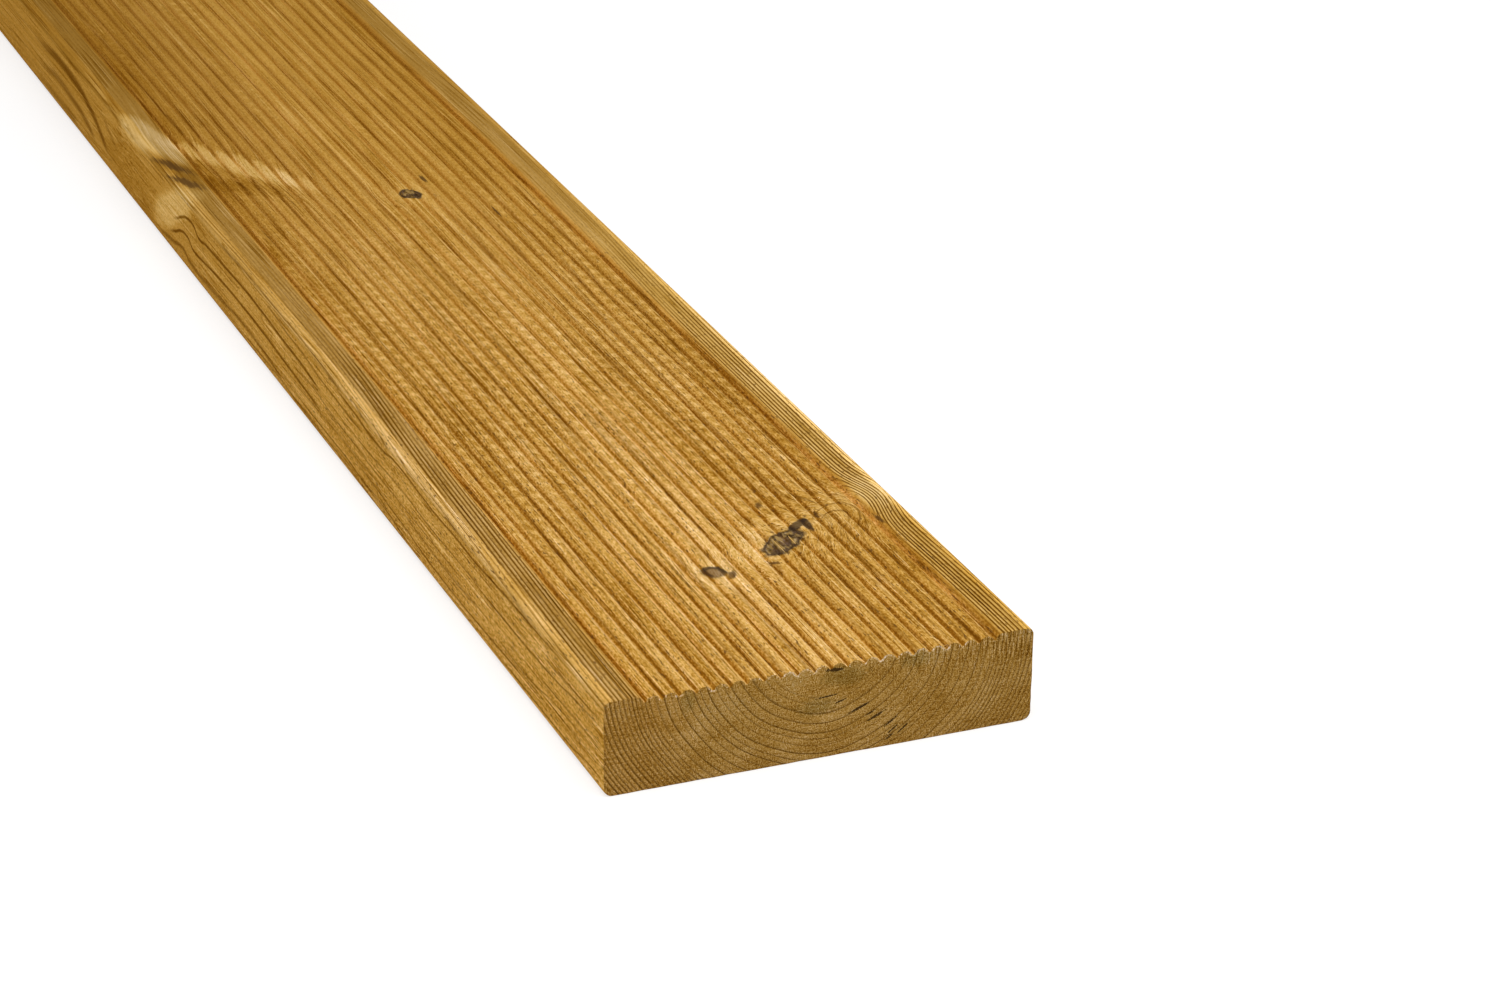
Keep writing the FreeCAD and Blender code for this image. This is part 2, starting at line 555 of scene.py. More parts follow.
# Distance from the pith in mm, bent by the branches, and from it the count of rings. Ring widths are
# even on both sides of one radius, and a slow noise makes the rings wide and narrow in turn.
def ringField(shader, place):
    size = growth
    x, y, z = shader.parts(place)
    drift = x.step(size["driftFrom"], size["driftTo"])
    farther = x.step(size["wanderFrom"], size["wanderTo"])
    wanderLeft = shader.noise(place, (230, 4000, 4000), detail=1.0, shift=3.7) * farther
    wanderUp = shader.noise(place, (310, 4000, 4000), detail=1.0, shift=8.1) * farther
    awayY = y - (drift * size["driftLeft"] + wanderLeft * size["wanderLeft"] + size["pithLeft"])
    awayZ = z - (drift * size["driftUp"] + wanderUp * size["wanderUp"] + size["pithHeight"])
    plain = (awayY * awayY + awayZ * awayZ).root()
    push = 0
    for branch in size["branches"]:
        apart = shader.oval(place, branch)
        push = (apart * apart * -size["branchFade"]).exponential() * branch["push"] + push
    direction = shader.vector(x / size["swayLength"], awayY / plain, awayZ / plain)
    sway = shader.noise(direction, (1, 1, 1), detail=1.0, shift=1.3)
    radius = plain - push + sway * plain * size["sway"]
    middling = 1 / size["middleRing"] - 1 / size["wideRing"]
    narrower = 1 / size["narrowRing"] - 1 / size["middleRing"]
    rings = (radius - size["middleFrom"]).largest(0) * middling + radius / size["wideRing"]
    rings = (radius - size["narrowFrom"]).largest(0) * narrower + rings
    rhythm = shader.noise(shader.vector(radius), (size["rhythmSize"], 1, 1), detail=1.0, shift=5.2)
    rings = rings + rhythm * size["rhythm"] + size["firstRing"]
    return {"x": x, "y": y, "z": z, "radius": radius, "plain": plain, "rings": rings}


# Latewood of a ring: nothing over its first part, darkening towards its outer edge, where it stops
# sharply. Each ring has its own strength, from a half to 1.
def latewood(shader, rings, start, full, sharp):
    ring = rings.part()
    own = shader.node("ShaderNodeTexWhiteNoise", {"noise_dimensions": "1D"}, {"W": rings.floor()})
    return ring.step(start, full) * ring.step(1.0, 1.0 - sharp) * (own * 0.5 + 0.5)


# Thin lines where a noise passes through its middle, as a share of 1 on the line
def contour(noise, halfWidth):
    return abs(noise).step(halfWidth, halfWidth * 0.3)


# An oval on the planed face, which reaches on into the wood
def faceOval(fromEnd, left, halfLength, halfWidth, turn=0, height=26.5, halfDepth=14.0, **more):
    half = (halfLength, halfWidth, halfDepth)
    return {"middle": (fromEnd, left, height), "half": half, "turn": (0, 0, turn), **more}


# All lengths are in mm, and colours of a zone or halo are tints that multiply the wood's colour
faceWood = {
    "earlywood": colour(0.712, 0.403, 0.096),
    "latewood": colour(0.270, 0.117, 0.011),
    "marginTint": colour(0.84, 0.885, 1.13),
    "rightMarginTint": colour(1.00, 0.945, 0.62),
    "bandTint": colour(0.96, 0.87, 0.68),     # the bands beside the margins
    # painted light on the long sides, which makes them yellower
    "sideLightTint": colour(1.00, 0.93, 0.69),
    "farReedTint": colour(1.00, 0.985, 0.86), # the middle and right reeds, farther on
    "haloTint": colour(0.98, 1.02, 1.04),
    "fleck": colour(0.150, 0.068, 0.016),
    "knotRim": colour(0.055, 0.034, 0.022),
    "knotWood": colour(0.160, 0.088, 0.042),
    "knotHeart": colour(0.370, 0.235, 0.080),
    "spot": colour(0.120, 0.056, 0.015),
    "roughness": 0.66,
    "lateFrom": 0.52,                         # share of a ring where its latewood starts
    "lateFull": 0.88,                         # and where it is darkest
    "lateEdge": 0.07,                         # share of a ring over which the latewood stops
    "marginLate": 0.18,                       # the latewood starts earlier on the margins by this share
    "fibreSize": (60, 0.60, 0.60),            # size of each noise along, across and up
    "hairSize": (24, 0.30, 0.30),
    "grainSize": (1.10, 0.48, 0.48),
    "bandSize": (170, 5.5, 5.5),
    "blotchSize": (26, 9, 9),
    "fleckSize": (2.4, 0.40, 0.40),
    "fadeSize": (55, 2.2, 2.2),               # where the latewood is stronger or weaker
    "comingSize": (40, 2.0, 2.0),             # where scratches and bright lines come and go
    "scratchSize": (130, 1.0, 1.0),
    "brightSize": (150, 1.1, 1.1),
    "beadedSize": (90, 18, 18),               # where the knife marks show
    "raggedSize": (3.4, 2.4, 6),              # outlines of the knots
    "patchSize": (4.0, 1.8, 9),               # heart in the knots
    "topFrom": (2.4, 2.0),                    # depths under the margins over which a zone comes in
    "sideFrom": (2.0, 3.0),
    "marginFrom": (0.4, 0.1),
    "rightMarginFrom": (1.0, 0.5),
    "arrisFrom": (2.6, 1.6),
    "marginInner": (10.0, 8.8),               # and distances from a side face
    "marginOuter": (2.4, 3.4),
    "arrisInner": (3.4, 2.2),
    "bandInner": (14.5, 11.5),
    "bandOuter": (9.4, 10.4),
    "contrast": {                             # how much each makes the wood lighter or darker
        "plain": 1.07,
        "perRadius": 0.0030,                  # darker by this for each mm from the pith
        "fibres": 0.46,
        "sideFibres": 0.25,                   # this much more on the long sides
        "hairs": 0.55,
        "bands": 0.55,
        "blotches": 0.35,
        "grains": 0.45,
        "roughGrains": 0.75,                  # this much more on the reeds and the long sides
        "farther": 0.60,                      # this share of the grain is gone farther on
        "fartherLines": 0.68,                 # and this share of the latewood
        "scratches": 0.40,
        "fartherScratches": 0.18,             # this much less farther on
        # painted highlights and shade of the knife marks
        "beads": 0.27,
    },
    "course": {                               # at the near end, then (from, to, change) along the board
        # painted shade in the grooves, then a painted highlight on the right shoulders of the reeds
        "grooveShade": (0.44, (60, 400, -0.26), (400, 540, -0.12)),
        "shoulders": (0.10, (260, 40, 0.20)),
        "brights": (0.34, (60, 200, -0.14)),
        "flecks": (0.25, (420, 120, 0.55)),
        # painted shade for the light falling off along the board, and a little darker right at the near end
        "darker": (0.0, (280, 420, 0.11), (420, 540, 0.02), (90, 30, 0.03)),
        # painted light that makes the long sides lighter, then a painted highlight on the arris
        "sides": (0.20, (60, 160, -0.03)),
        "arris": (0.14, (60, 110, 0.18), (160, 260, -0.10), (330, 480, -0.16)),
        "marginLines": (0.8, (120, 250, -0.5)),
        "rightMargin": (0.22, (155, 230, -0.05), (250, 400, -0.15)),
        "rightTint": (0.4, (400, 250, 0.6)),
    },
    "fartherFrom": 120.0,                     # where the grain starts to soften along the board
    "fartherTo": 520.0,
    "turnsBack": 620.0,                       # looks change along the board up to here, and back past it
    "cutterMark": 7.3,                        # between the knife marks across the reeds
    "cutterLean": 0.5,                        # how far they lean along the board over 1 mm across it
    "knotLean": (2.0, -0.85),                 # how far branches run along and across over 1 mm of depth
    "partingReach": 1.9,                      # fibres part round an oval this many times as large as a knot
    "partingFade": 1.2,                       # how fast that fades away from its middle
    "parting": 0.55,                          # how far they part, as a share of the way to its middle
    "knots": [
        faceOval(72.4, -19.4, 10.8, 4.9, turn=-48),
        faceOval(364.0, -9.6, 5.2, 3.9, turn=20),
    ],
    "knotEnds": [                             # dark ovals at the outer end of the first knot
        faceOval(81.4, -27.4, 5.4, 1.8, turn=-44),
        faceOval(80.4, -29.9, 4.9, 1.4, turn=-5),
    ],
    "archKnot": faceOval(61.0, 5.0, 5.0, 3.2, turn=12),
    "spots": [
        faceOval(97.0, -22.2, 2.8, 1.3, turn=-20),
        faceOval(85.4, -34.8, 3.0, 0.8, turn=-10),
        faceOval(61.0, -12.0, 1.1, 2.0),
        faceOval(58.4, 1.2, 3.2, 1.5, turn=-35),
        faceOval(60.6, 7.6, 3.2, 1.3, turn=10),
        faceOval(77.0, -50.0, 4.0, 0.8, turn=6),
        faceOval(376.0, -18.0, 3.4, 0.9),
        faceOval(339.0, -30.5, 5.0, 0.6),
        faceOval(417.0, 56.0, 12.5, 2.6, turn=23, halfDepth=9.0),
        faceOval(400.0, 55.8, 11.0, 2.6, turn=24, halfDepth=9.0),
    ],
    "halos": [                                # paler where the lift is above 0, darker below it
        faceOval(75.0, -17.0, 21.0, 12.0, turn=-46, lift=0.19),
        faceOval(60.0, 6.0, 13.0, 7.0, lift=0.16),
        faceOval(88.0, -42.0, 17.0, 9.0, turn=-50, lift=0.16),
        faceOval(94.0, -55.0, 15.0, 5.0, height=27.0, lift=0.16),
        faceOval(52.0, -45.0, 12.0, 6.0, lift=-0.08),
        faceOval(364.0, -9.6, 12.0, 8.0, lift=0.10),
        faceOval(446.0, 56.0, 32.0, 7.5, turn=9, height=27.0, halfDepth=6.0, lift=0.40),
        faceOval(411.0, 35.0, 42.0, 7.5, turn=28, height=26.8, halfDepth=2.6, lift=0.36),
        faceOval(388.0, 37.0, 20.0, 6.5, turn=40, lift=-0.16),
        faceOval(408.0, 54.0, 27.0, 4.5, turn=20, halfDepth=9.0, lift=-0.14),
        {"middle": (404.0, 59.0, 17.0), "half": (31.0, 8.0, 7.5), "turn": (0, 22, 0), "lift": 0.36},
        faceOval(458.0, 60.0, 40.0, 6.0, height=11.0, halfDepth=13.0, lift=-0.10),
    ],
    "whorl": faceOval(80.0, -38.0, 17.0, 9.0, turn=-35),
    "drawnTo": 600.0,                         # the left side's dark lines are drawn up to here
    "drawnUp": 30.0,                          # the greatest height that they can have
    "sideLines": [                            # width, strength, and points (from the near end, up) to pass
        (0.60, 0.80, [
            (4, 26.4), (14, 26.1), (30, 25.0), (40, 24.4), (60, 23.9), (80, 23.4), (100, 22.6), (114, 22.9),
            (131, 22.4), (145, 22.8), (168, 23.4), (180, 22.1), (190, 22.1), (203, 23.0), (228, 24.0)]),
        (0.45, 0.60, [(0, 21.1), (10, 20.6), (30, 19.8), (50, 19.0)]),
        (0.50, 0.75, [
            (3, 18.9), (22, 18.0), (32, 17.0), (50, 16.2), (65, 15.9), (80, 15.9), (94, 14.6)]),
        (0.40, 0.60, [(0, 13.2), (15, 12.6), (30, 12.4), (52, 11.4)]),
        (0.40, 0.55, [(6, 10.7), (25, 10.1), (40, 9.2), (58, 7.4), (84, 7.9)]),
        (0.35, 0.45, [(0, 8.0), (6, 7.7), (30, 7.6), (48, 8.6)]),
        (0.40, 0.60, [(0, 4.8), (12, 4.3), (24, 3.2), (60, 2.9), (84, 2.5)]),
        (0.50, 0.70, [
            (60, 5.8), (72, 5.5), (90, 5.0), (115, 4.5), (138, 4.8), (160, 6.2), (175, 6.8), (190, 7.5),
            (206, 7.6)]),
        (0.70, 0.50, [(94, 10.4), (106, 9.2), (120, 9.0), (140, 9.4), (168, 10.8)]),
        (0.45, 0.60, [
            (92, 16.8), (115, 16.4), (140, 16.2), (155, 16.8), (170, 16.9), (190, 16.0), (208, 16.0)]),
        (0.50, 0.50, [
            (110, 12.3), (128, 12.1), (150, 12.3), (190, 12.3), (205, 12.9), (230, 13.5), (245, 14.6),
            (266, 14.8)]),
        (0.45, 0.45, [(182, 9.8), (205, 9.8), (230, 9.3), (270, 8.4)]),
        (0.45, 0.60, [
            (146, 1.7), (165, 3.0), (180, 4.2), (200, 4.4), (215, 5.1), (230, 5.1), (264, 5.0)]),
        (0.45, 0.55, [(178, 1.2), (205, 2.3), (230, 3.0), (265, 3.2), (290, 3.6), (324, 3.0)]),
        (0.55, 0.60, [
            (200, 19.7), (217, 20.0), (230, 20.4), (245, 20.9), (255, 21.9), (275, 22.4), (285, 23.2),
            (300, 23.6)]),
        (0.75, 0.90, [
            (240, 16.4), (262, 17.9), (280, 18.4), (300, 19.1), (315, 19.4), (345, 18.7), (365, 18.2),
            (371, 17.4), (376, 19.1), (381, 20.1), (386, 19.6), (392, 18.0), (398, 15.5), (406, 12.8)]),
        (0.75, 0.90, [
            (240, 10.2), (262, 10.9), (280, 11.6), (300, 12.3), (320, 12.6), (345, 12.3), (368, 11.1),
            (379, 10.6), (383, 11.9), (388, 13.0), (394, 12.3), (400, 10.1), (412, 6.4)]),
        (1.00, 0.60, [
            (280, 4.0), (305, 6.2), (325, 6.6), (345, 5.5), (370, 4.4), (386, 4.9), (393, 6.6), (398, 6.2),
            (405, 4.8), (415, 4.1), (424, 2.0)]),
        (2.30, 0.72, [
            (488, 7.0), (500, 12.1), (505, 14.2), (515, 16.7), (525, 18.9), (540, 19.9), (555, 20.1),
            (575, 18.9), (600, 18.0)]),
        (2.00, 0.62, [
            (506, 5.8), (520, 9.2), (530, 10.6), (540, 11.2), (560, 12.1), (575, 11.0), (600, 10.5)]),
        (1.60, 0.40, [(530, 4.2), (575, 3.9), (600, 3.8)]),
        (1.60, 0.35, [(474, 12.0), (485, 16.0), (500, 21.0)]),
    ],
}


# The planed and reeded face. What its patterns share is kept on it: places, zones, rings and grain
class PlanedFace:
    def __init__(self, look):
        self.look = look
        self.shader = Shader(bpy.data.materials.new("planedSoftwood"))
        self.place = self.shader.placeInMm()
        self.field = ringField(self.shader, self.place)
        self.x = self.field["x"]
        self.y = self.field["y"]
        self.z = self.field["z"]
        self.along = self.x.smallest(2 * look["turnsBack"] - self.x)
        self.farther = self.along.step(look["fartherFrom"], look["fartherTo"])
        self.setPlaces()
        self.setZones()
        self.setGrain()
        self.setReeds()

    # How strong something is along the board: what it starts from, and smooth changes added to it
    def course(self, name):
        value, *changes = self.look["course"][name]
        for start, end, change in changes:
            value = self.along.step(start, end) * change + value
        return value

    # Fibres follow the rings and part round the knots. Branches lean with the depth, so a knot that is
    # drawn on the leaning place keeps its outline over the reeds.
    def setPlaces(self):
        look = self.look
        around = self.y * (self.field["radius"] / self.field["plain"])
        for knot in look["knots"] + [look["archKnot"]]:
            apart = self.shader.oval(self.place, knot, larger=look["partingReach"])
            parting = (apart * apart * -look["partingFade"]).exponential() * look["parting"]
            around = around - (self.y - knot["middle"][1]) * parting
        self.bent = self.shader.vector(self.x, around, self.z)
        depth = self.z - (board["thickness"] - board["crownBelowMargin"])
        leanAlong, leanAcross = look["knotLean"]
        self.leaning = self.shader.vector(depth * leanAlong + self.x, depth * leanAcross + self.y, self.z)

    # Zones of the board as shares of 1, by the distance from a side face and the depth under the margins
    def setZones(self):
        look = self.look
        fromEdge = board["width"] / 2 - abs(self.y)
        under = board["thickness"] - self.z
        inner = fromEdge.step(*look["marginInner"])
        drawn = self.x.step(look["drawnTo"], look["drawnTo"] - 40)
        self.onTop = under.step(*look["topFrom"])
        self.side = under.step(*look["sideFrom"])
        self.leftSide = self.side * self.y.step(50, 58) * drawn
        self.margin = inner * fromEdge.step(*look["marginOuter"]) * under.step(*look["marginFrom"])
        self.rightMargin = inner * self.y.step(-40, -50) * under.step(*look["rightMarginFrom"])
        self.arris = fromEdge.step(*look["arrisInner"]) * under.step(*look["arrisFrom"])
        self.besideMargin = fromEdge.window(look["bandInner"], look["bandOuter"]) * self.onTop

    # The rings' latewood and the noises of the grain, most of them drawn out along the fibres
    def setGrain(self):
        look = self.look
        noise = self.shader.noise
        earlier = self.margin * look["marginLate"]
        fade = noise(self.bent, look["fadeSize"], detail=1.0, shift=12.3)
        start = look["lateFrom"] - earlier
        full = look["lateFull"] - earlier
        late = latewood(self.shader, self.field["rings"], start, full, look["lateEdge"])
        self.late = late * (fade * 1.6 + 0.85) * (1 - self.leftSide * 0.8)
        self.fibres = noise(self.bent, look["fibreSize"])
        self.hairs = noise(self.bent, look["hairSize"], detail=1.0, shift=4.4)
        self.grains = noise(self.bent, look["grainSize"], detail=1.0, shift=6.1)
        self.bands = noise(self.bent, look["bandSize"], shift=7.7)
        self.blotches = noise(self.place, look["blotchSize"], shift=2.9)
        self.ragged = noise(self.leaning, look["raggedSize"], shift=5.9)
        comes = noise(self.bent, look["comingSize"], detail=0.0, shift=18.3).step(-0.10, 0.10)
        thin = self.farther * 0.035 + 0.032
        self.scratches = contour(noise(self.bent, look["scratchSize"], detail=1.0, shift=15.5), thin) * comes
        self.brights = contour(noise(self.bent, look["brightSize"], detail=1.0, shift=17.1), thin) * comes
        flecks = noise(self.bent, look["fleckSize"], detail=0.0, shift=9.3)
        self.flecks = flecks.step(0.18, 0.27) * self.course("flecks")

    # The place across a reed counts from the middle of the groove on its left. Knife marks are waves along
    # the board that leave beads on the crowns, where a slow noise lets them show: a faint bump, with painted
    # highlights on the beads and painted shade between them.
    def setReeds(self):
        look = self.look
        self.onReeds = abs(self.y).step(firstGroove + 1.4, firstGroove + 0.5) * self.onTop
        self.across = ((firstGroove - self.y) / reedPitch).part() * reedPitch
        turns = (self.x + self.across * look["cutterLean"]) * (2 * math.pi / look["cutterMark"])
        nearer = self.along.step(350, 250)
        beaded = self.shader.noise(self.place, look["beadedSize"], detail=1.0, shift=11.0) * 3.0
        beaded = beaded + self.along.step(60, 130) * nearer * 0.8
        beads = (turns.sine().step(-0.5, 1.0) - 0.42) * (beaded.step(0.0, 1.0) * 0.94 + nearer * 0.06)
        self.beads = beads * self.across.window((1.0, 2.0), (4.0, 3.1)) * self.onReeds

    # Painted shade in the grooves, soft painted light and shade on both shoulders of a reed, and farther on
    # one painted wave of shade over each reed
    def reedShade(self):
        across = self.across
        along = self.along
        groove = across.step(0.95, 0.40) * (across.step(-0.1, 0.30) * 0.5 + 0.5)
        groove = groove.largest(across.step(reedPitch - 0.3, reedPitch - 0.1) * 0.5)
        groove = groove * (self.fibres * 0.7 + 0.95) * self.course("grooveShade")
        groove = groove * (1 - self.y.step(-44, -48) * along.step(200, 80) * 1.5)
        shoulder = across.step(2.5, 3.9) * self.course("shoulders")
        shoulder = shoulder - across.step(1.0, 2.4) * self.farther * 0.07
        bulge = (2 * math.pi / reedPitch * across).cosine()
        waveShade = self.y.step(10, -30) * 0.030 + self.y.step(20, 0) * 0.012
        waveShade = along.step(200, 300) * waveShade + along.step(400, 500) * 0.030
        return (shoulder - groove - bulge * waveShade) * self.onReeds

    # Lighter halos round the knots and some darker patches, as what they add to the brightness
    def halos(self):
        halo = 0
        frayed = self.blotches * 0.7 + self.fibres * 0.9
        for spot in self.look["halos"]:
            reach = self.shader.oval(self.place, spot) + frayed
            halo = reach.step(1.0, 0.55) * spot["lift"] + halo
        return halo

    # A line of the left side, dark where a smooth curve through its points is nearer than its width
    def sideLine(self, width, strength, points):
        start = points[0][0]
        end = points[-1][0]
        height = self.shader.curve(self.x, points, self.look["drawnTo"], self.look["drawnUp"])
        away = abs(self.z - height)
        shown = self.x.window((start - 2, start + 8), (end, end - 12)) * self.leftSide * strength
        return (away.step(width * 1.2, width * 0.2) * shown * 1.2).smallest(1.0)

    # Nested arcs of rings round the whorl, on its outer side
    def curls(self):
        look = self.look
        whorl = self.shader.oval(self.leaning, look["whorl"]) + self.blotches * 0.25
        outward = self.shader.parts(self.shader.local(self.leaning, look["whorl"]))[0] + self.grains
        arcs = contour((whorl * 3.6).part() - 0.5, 0.15) * whorl.window((0.15, 0.4), (1.1, 0.8))
        return arcs * outward.step(-0.5, 0.3) * 0.75

    # All dark lines together: latewood, paler on the reeds and farther on, and the drawn ones
    def darkLines(self, halo):
        much = self.look["contrast"]
        along = self.along
        lines = self.late * (1 - halo * 1.5) * (self.margin * self.course("marginLines") + 1)
        lines = lines * (1 - self.onReeds * 0.35) * (self.rightMargin * along.step(360, 100) * 0.6 + 1)
        lines = lines * (1 - self.farther * much["fartherLines"])
        lines = lines * (1 - self.margin * along.step(200, 380) * 0.7)
        for line in self.look["sideLines"]:
            lines = lines.largest(self.sideLine(*line))
        return lines.largest(self.curls())

    # How much darker the wood gets: to the right near the end, and farther on a painted shade, stronger to
    # the left, for the light falling off with distance along the board
    def darkening(self):
        y = self.y
        along = self.along
        toRight = y.step(-5, -50) * along.step(260, 40) * 0.16
        toLeft = along.step(200, 560) * (y.step(0, 50) * 0.13 - 0.02)
        return (toRight + toLeft + self.course("darker")) * (1 - self.side * 0.6)

    # How much lighter the right margin is than the left one
    def rightMarginLift(self):
        along = self.along
        lift = self.course("rightMargin") + along.step(360, 100) * (0.22 - self.late * 0.60)
        return lift + along.window((60, 110), (230, 160)) * 0.09

    # The brightness of the wood as a sum of its grain, marks, reeds, halos and zones, with the painted shade
    # and highlights of the reeds and knife marks and the painted fall-off of light along the board
    def light(self, halo):
        much = self.look["contrast"]
        streaks = self.fibres * (self.side * much["sideFibres"] + much["fibres"])
        streaks = streaks + self.hairs * much["hairs"]
        clouds = (self.bands * much["bands"] + self.blotches * much["blotches"]) * (1 - self.side * 0.4)
        speckle = self.grains * ((self.onReeds + self.side) * much["roughGrains"] + much["grains"])
        light = (streaks + clouds + speckle) * (1 - self.farther * much["farther"])
        light = light + self.brights * self.course("brights")
        light = light - self.scratches * (much["scratches"] - self.farther * much["fartherScratches"])
        # the painted shade of the reeds and the painted highlights of the knife marks
        light = light + self.reedShade() + self.beads * much["beads"] + halo
        light = light + self.rightMargin * self.rightMarginLift() - self.darkening()
        return light - self.field["radius"] * much["perRadius"] + much["plain"]

    # Each zone's own tint, painted light that makes the long sides yellower and lighter, and a painted
    # highlight that makes the arris lighter
    def tintZones(self, tone, halo):
        look = self.look
        shader = self.shader
        tone = shader.tint((halo * 3).smallest(1.0).largest(0.0), tone, look["haloTint"])
        tone = shader.tint(self.margin, tone, look["marginTint"])
        tone = shader.tint(self.side, tone, look["sideLightTint"])
        tone = shader.deepen(tone, self.side * self.course("sides") + 1)
        tone = shader.deepen(tone, self.arris * self.course("arris") + 1)
        tone = shader.tint(self.rightMargin * self.course("rightTint"), tone, look["rightMarginTint"])
        tone = shader.tint(self.onReeds * self.farther * self.y.step(20, 0), tone, look["farReedTint"])
        return shader.tint(self.besideMargin * (self.bands * 2 + 0.7), tone, look["bandTint"])

    # Knots with ragged outlines: dark wood with patches of lighter heart in it, inside a darker rim.
    # It also gives how far their wood stands up or lies sunk.
    def paintKnots(self, tone, patches):
        look = self.look
        shader = self.shader
        heart = shader.blend(self.ragged.step(-0.15, 0.15), look["knotRim"], look["knotWood"])
        heart = shader.blend(patches.step(-0.05, 0.10), heart, look["knotHeart"])
        streaked = self.hairs * 0.6 + self.grains + 1
        sunk = 0
        for knot in look["knots"]:
            reach = shader.oval(self.leaning, knot) + self.ragged * 0.60
            inKnot = reach.step(1.02, 0.80)
            wood = shader.blend((reach + self.ragged).step(0.55, 0.95), heart, look["knotRim"])
            tone = shader.blend(inKnot * 0.95, tone, shader.deepen(wood, streaked))
            sunk = inKnot * (self.ragged * 0.2 - 0.05) + sunk
        for end in look["knotEnds"]:
            reach = shader.oval(self.leaning, end) + self.ragged * 0.8
            tone = shader.blend(reach.step(1.05, 0.65) * 0.85, tone, look["knotRim"])
        return tone, sunk

    # A knot cut lengthways: heart in patches, inside a dark rim that is open towards the near end
    def paintArchKnot(self, tone, patches):
        look = self.look
        shader = self.shader
        reach = shader.oval(self.leaning, look["archKnot"]) + self.ragged * 0.8
        endways = shader.parts(shader.local(self.leaning, look["archKnot"]))[0]
        rim = reach.window((0.40, 0.70), (1.08, 0.85)) * endways.step(-0.75, -0.15)
        inside = reach.step(0.9, 0.6) * endways.step(-1.0, -0.2)
        wood = shader.blend(patches.step(0.0, 0.13), look["knotWood"], look["knotHeart"])
        tone = shader.blend(inside * 0.75, tone, wood)
        return shader.blend(rim * 0.85, tone, look["knotRim"])

    # Small dark spots, frayed along the fibres
    def paintSpots(self, tone):
        frayed = self.ragged * 0.7 + self.fibres * 1.2 + self.hairs * 0.8
        for spot in self.look["spots"]:
            reach = self.shader.oval(self.leaning, spot) + frayed
            tone = self.shader.blend(reach.step(1.10, 0.40) * 0.85, tone, self.look["spot"])
        return tone


# The planed face, coat by coat: the wood and its dark lines, their brightness, tints, flecks and knots
def planedSoftwood():
    look = faceWood
    face = PlanedFace(look)
    shader = face.shader
    halo = face.halos()
    tone = shader.blend(face.darkLines(halo), look["earlywood"], look["latewood"])
    tone = face.tintZones(shader.deepen(tone, face.light(halo)), halo)
    tone = shader.blend(face.flecks, tone, look["fleck"])
    patches = shader.noise(face.leaning, look["patchSize"], detail=3.0, shift=24.0)
    tone, sunk = face.paintKnots(tone, patches)
    tone = face.paintSpots(face.paintArchKnot(tone, patches))
    height = face.fibres * 0.10 + face.hairs * 0.12 + face.grains * 0.14 + face.beads * 0.02
    height = height + face.brights * 0.04 - face.scratches * 0.05 - face.flecks * 0.06
    height = height - face.late * 0.03 + sunk
    rough = face.fibres * 0.3 + look["roughness"] - face.arris * 0.10
    return shader.finish(tone, rough, height, {"Specular IOR Level": 0.0})


# An oval on a sawn end
def endOval(left, up, halfWidth, halfHeight, turn=0):
    return {"middle": (0.0, left, up), "half": (9.0, halfWidth, halfHeight), "turn": (turn, 0, 0)}


endWood = {
    "earlywood": colour(0.478, 0.263, 0.0545),
    "latewood": colour(0.172, 0.081, 0.0105),
    "stainTint": colour(0.80, 0.87, 0.96),
    "leftTint": colour(1.00, 0.94, 0.84),
    "check": colour(0.045, 0.022, 0.007),
    "roughness": 0.80,
    "poreSize": (2, 0.30, 0.30),              # size of each noise along, across and up, in mm
    "grainSize": (2, 0.8, 0.8),
    "cloudSize": (40, 13, 8),
    "sawMarkSize": (8, 9.0, 0.45),
    "raySize": (8, 0.45, 6.0),
    "pores": 2.6,                             # how much each makes the end lighter or darker
    "grain": 1.1,
    "clouds": 0.9,
    "sawMarks": 0.7,
    "rays": 2.6,
    "plain": 1.03,
    "torn": 0.55,
    "stains": [
        endOval(-6.0, 23.0, 8.0, 3.6),
        endOval(1.0, 15.0, 7.0, 3.4),
        endOval(37.0, 23.0, 2.6, 4.0),
        endOval(-27.0, 24.0, 6.0, 3.0),
    ],
    "checks": [                               # short splits along the rings
        endOval(-3.4, 24.9, 3.2, 0.55, turn=6),
        endOval(-10.5, 12.7, 3.6, 0.42, turn=-21),
        endOval(-15.5, 9.5, 3.0, 0.38, turn=-25),
        endOval(-13.7, 10.6, 1.8, 0.26, turn=-24),
        endOval(-1.5, 17.6, 3.4, 0.22, turn=-4),
        endOval(-5.2, 15.6, 1.8, 0.28, turn=-15),
        endOval(-19.4, 6.9, 2.4, 0.30, turn=-34),
        endOval(-20.0, 4.6, 2.4, 0.28, turn=-36),
        endOval(-23.2, 4.6, 2.6, 0.30, turn=-40),
        endOval(-19.2, 2.6, 2.0, 0.26, turn=-34),
    ],
}


# The rim under the reeds where the saw tore the wood: close under a wave with the height of the reeds,
# in patches
def tornRim(y, z, patches):
    reedRise = board["grooveDepth"] - board["crownBelowMargin"]
    wave = (2 * math.pi / reedPitch * (y - firstGroove)).cosine()
    under = board["thickness"] - board["crownBelowMargin"] - (wave + 1) * reedRise / 2 - z
    return under.step(0.75, 0.25) * abs(y).step(firstGroove + 1, firstGroove) * patches.step(-0.15, 0.30)


